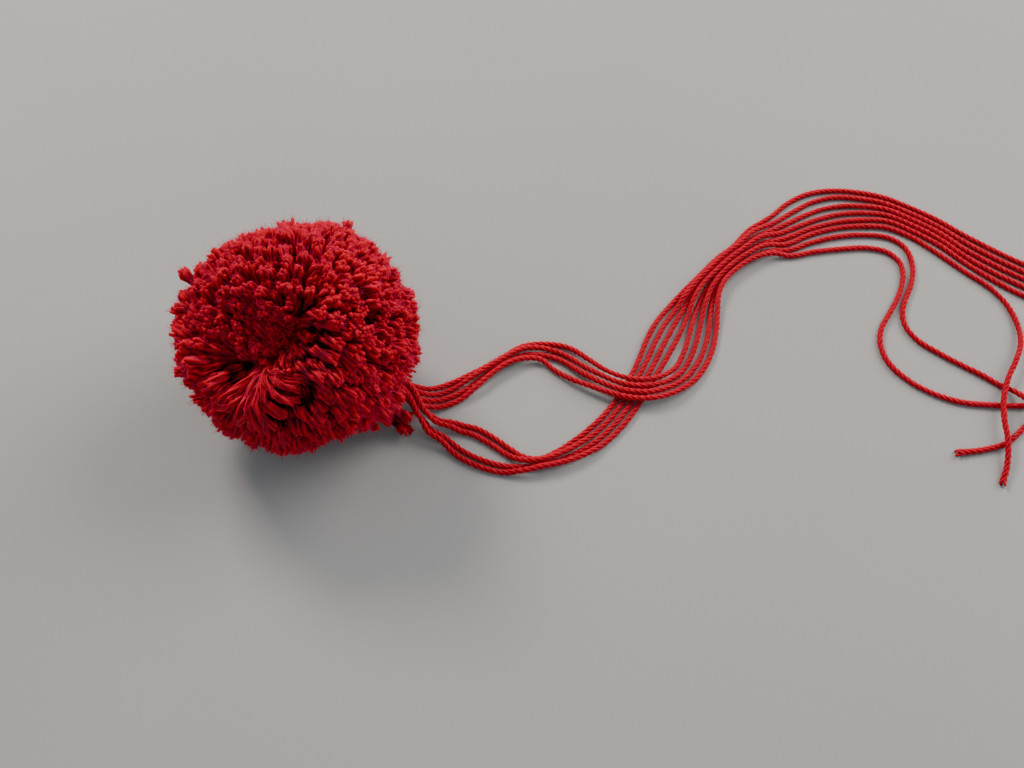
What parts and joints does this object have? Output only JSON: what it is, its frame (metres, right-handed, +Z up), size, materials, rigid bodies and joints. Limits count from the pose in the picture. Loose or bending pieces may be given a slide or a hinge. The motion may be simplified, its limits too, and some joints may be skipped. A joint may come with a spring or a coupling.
{
  "type": "yarn pom pom",
  "caption": "Round red yarn pom pom with a cleft on its top side, lying on a table, with the long loose strands of its tie leaving low on one side.",
  "frame": {"origin": "on the table, at the flat underside of the ball, straight under the middle of the ball", "axes": "+Z up from the table, +X the way the tie runs out from the ball, +Y away from the side where the cleft opens"},
  "size_m": [0.2563, 0.0977, 0.0554],
  "materials": {
    "red_yarn": "soft plied acrylic knitting yarn, cut ends outward, matt with a faint sheen along the fibres",
    "tie_yarn": "the same plied acrylic yarn lying as single strands, matt and slightly fuzzy"
  },
  "bodies": {
    "root": {"pompom_ball": "red_yarn", "tie_strand_a1": "tie_yarn", "tie_strand_a2": "tie_yarn", "tie_strand_a3": "tie_yarn", "tie_strand_a4": "tie_yarn", "tie_strand_b1": "tie_yarn", "tie_strand_b2": "tie_yarn", "tie_strand_b3": "tie_yarn", "tie_strand_b4": "tie_yarn"}
  },
  "joints": []
}
